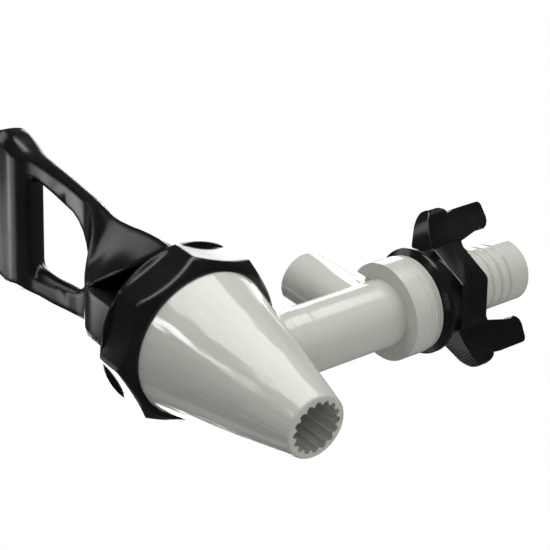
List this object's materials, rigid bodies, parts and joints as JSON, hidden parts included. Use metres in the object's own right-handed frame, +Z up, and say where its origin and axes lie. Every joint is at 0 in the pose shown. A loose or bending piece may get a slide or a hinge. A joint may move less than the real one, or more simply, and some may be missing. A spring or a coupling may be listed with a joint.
{
  "type": "beverage dispenser spigot",
  "caption": "Self-closing dispenser spigot: loop lever on an eight-sided bonnet, conical spout, gauge port and threaded shank with a wing nut.",
  "frame": {"origin": "on the shank axis, in the plane of the washer's rear face, where the dispenser wall sits", "axes": "+Y back along the shank through the wall, +Z up along the gauge port and the spout axis, +X to the right seen from the front"},
  "size_m": [0.0458, 0.1098, 0.1349],
  "materials": {
    "grey_plastic": "glossy moulded plastic, warm light grey",
    "black_plastic": "glossy black moulded plastic",
    "silicone": "soft translucent silicone",
    "stem_plastic": "plain off-white plastic",
    "spring_steel": "bright stainless steel",
    "washer_rubber": "grey moulded washer"
  },
  "bodies": {
    "valve_body": {"body": "grey_plastic", "bonnet": "black_plastic", "seat_cup": "silicone", "return_spring": "spring_steel", "shank_washer": "washer_rubber"},
    "valve_stem": {"stem": "stem_plastic"},
    "lever": {"handle": "black_plastic", "pivot_pin": "spring_steel"},
    "nut": {"wing_nut": "black_plastic"}
  },
  "joints": [
    {"name": "stem_lift", "type": "slide", "parent": "valve_body", "child": "valve_stem", "axis": [0, 0, 1], "range_m": [0, 0.0044], "stiffness_N_per_m": 800, "springref_m": -0.006, "deforming": ["return_spring", "seat_cup"]},
    {"name": "handle_tilt", "type": "hinge", "parent": "valve_stem", "child": "lever", "pos_m": [0, -0.0539, 0.029], "axis": [1, 0, 0], "range_deg": [0, 45]},
    {"name": "wing_nut_turn", "type": "hinge", "parent": "valve_body", "child": "nut", "pos_m": [0, 0.005, 0], "axis": [0, 1, 0], "continuous": true}
  ],
  "couplings": [
    {"joint": "handle_tilt", "follows": "stem_lift", "rad_per_m": 178.49}
  ]
}
